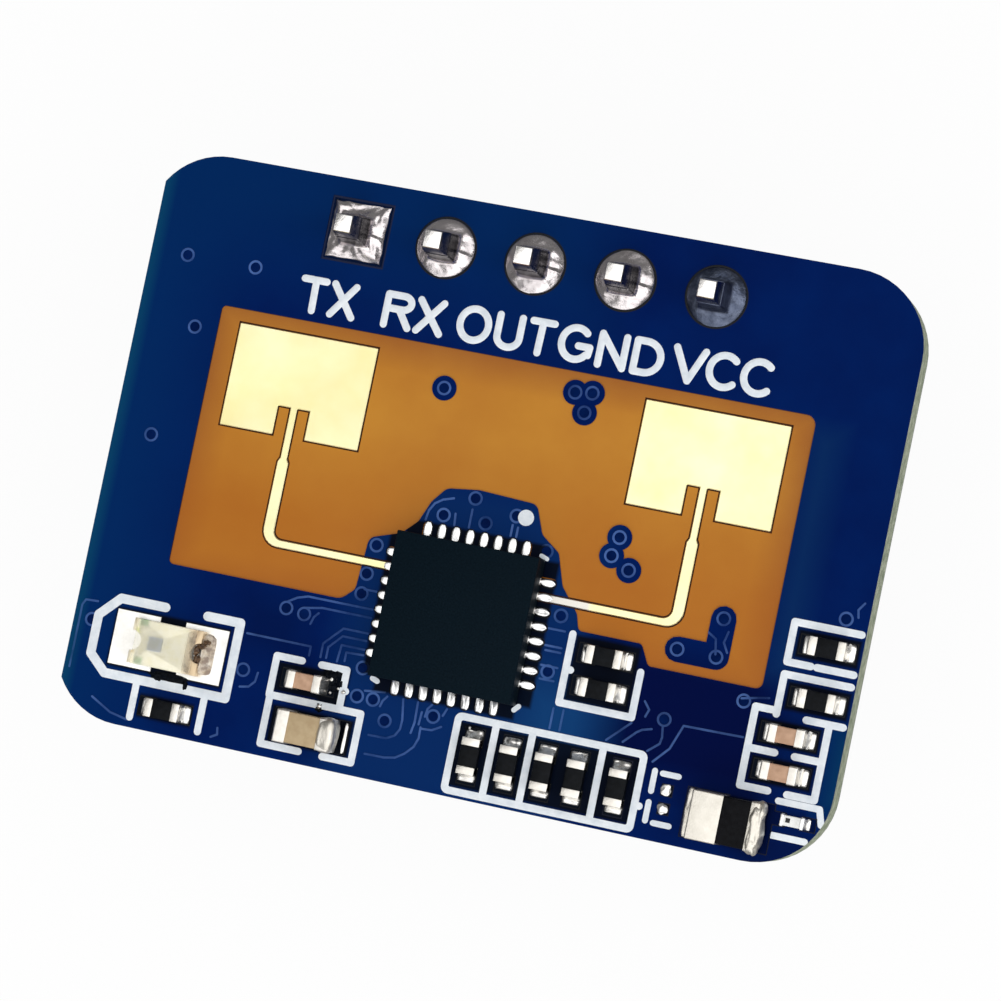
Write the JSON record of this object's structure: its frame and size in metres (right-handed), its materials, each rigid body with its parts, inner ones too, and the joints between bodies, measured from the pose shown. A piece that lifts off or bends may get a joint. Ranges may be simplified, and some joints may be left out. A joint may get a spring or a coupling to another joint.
{
  "type": "microwave radar sensor module",
  "caption": "Small radar presence sensor board with patch antennas, a radar chip, a light sensor and a pin header that plugs into a host board.",
  "frame": {"origin": "middle of the lower face of the header strip, on the axis of the middle pin", "axes": "+Z from the pins to the antenna side, +X along the header from the first pin to the last, +Y from the light sensor edge to the header edge"},
  "size_m": [0.0216, 0.016, 0.0113],
  "materials": {
    "laminate": "woven glass laminate, amber, satin",
    "solder_mask": "blue varnish, glossy",
    "antenna_gold": "pale gold plating, satin",
    "land_metal": "tinned copper",
    "print_white": "white printed lines",
    "strip_plastic": "black moulded plastic",
    "pin_metal": "tinned brass pins",
    "solder": "bright solder",
    "chip_mould": "black moulding compound, fine matt",
    "end_metal": "tinned metal ends",
    "resistor_black": "black overcoat on alumina",
    "capacitor_tan": "tan ceramic",
    "bead_black": "black ferrite",
    "filter_white": "white ceramic",
    "carrier_cream": "cream carrier board",
    "clear_resin": "clear cast resin",
    "die_blue": "blue-grey silicon",
    "crystal_ceramic": "grey-brown ceramic",
    "can_metal": "plated metal can"
  },
  "bodies": {
    "root": {"laminate": "laminate", "front_solder_mask": "solder_mask", "back_solder_mask": "solder_mask", "transmit_antenna": "antenna_gold", "receive_antenna": "antenna_gold", "hole_plating": "land_metal", "front_lands": "land_metal", "back_lands": "land_metal", "legend_print": "print_white", "header_strip": "strip_plastic", "header_pin_1": "pin_metal", "header_pin_2": "pin_metal", "header_pin_3": "pin_metal", "header_pin_4": "pin_metal", "header_pin_5": "pin_metal", "pin_solder": "solder", "radar_chip_body": "chip_mould", "radar_chip_terminals": "end_metal", "chip_solder": "solder", "light_sensor_carrier": "carrier_cream", "light_sensor_contacts": "end_metal", "light_sensor_lens": "clear_resin", "light_sensor_die": "die_blue", "resistor_1": "resistor_black", "resistor_2": "resistor_black", "resistor_3": "resistor_black", "resistor_4": "resistor_black", "resistor_5": "resistor_black", "resistor_6": "resistor_black", "resistor_7": "resistor_black", "resistor_8": "resistor_black", "resistor_9": "resistor_black", "resistor_10": "resistor_black", "resistor_ends": "end_metal", "capacitor_1": "capacitor_tan", "capacitor_2": "capacitor_tan", "capacitor_3": "capacitor_tan", "capacitor_4": "capacitor_tan", "capacitor_ends": "end_metal", "ferrite_bead_body": "bead_black", "ferrite_bead_ends": "end_metal", "filter_chip_body": "filter_white", "filter_chip_ends": "end_metal", "front_solder": "solder", "crystal_base": "crystal_ceramic", "crystal_can": "can_metal", "regulator_body": "chip_mould", "regulator_leads": "end_metal", "capacitor_5": "capacitor_tan", "capacitor_6": "capacitor_tan", "capacitor_7": "capacitor_tan", "capacitor_8": "capacitor_tan", "back_capacitor_ends": "end_metal", "back_solder": "solder"}
  },
  "joints": []
}
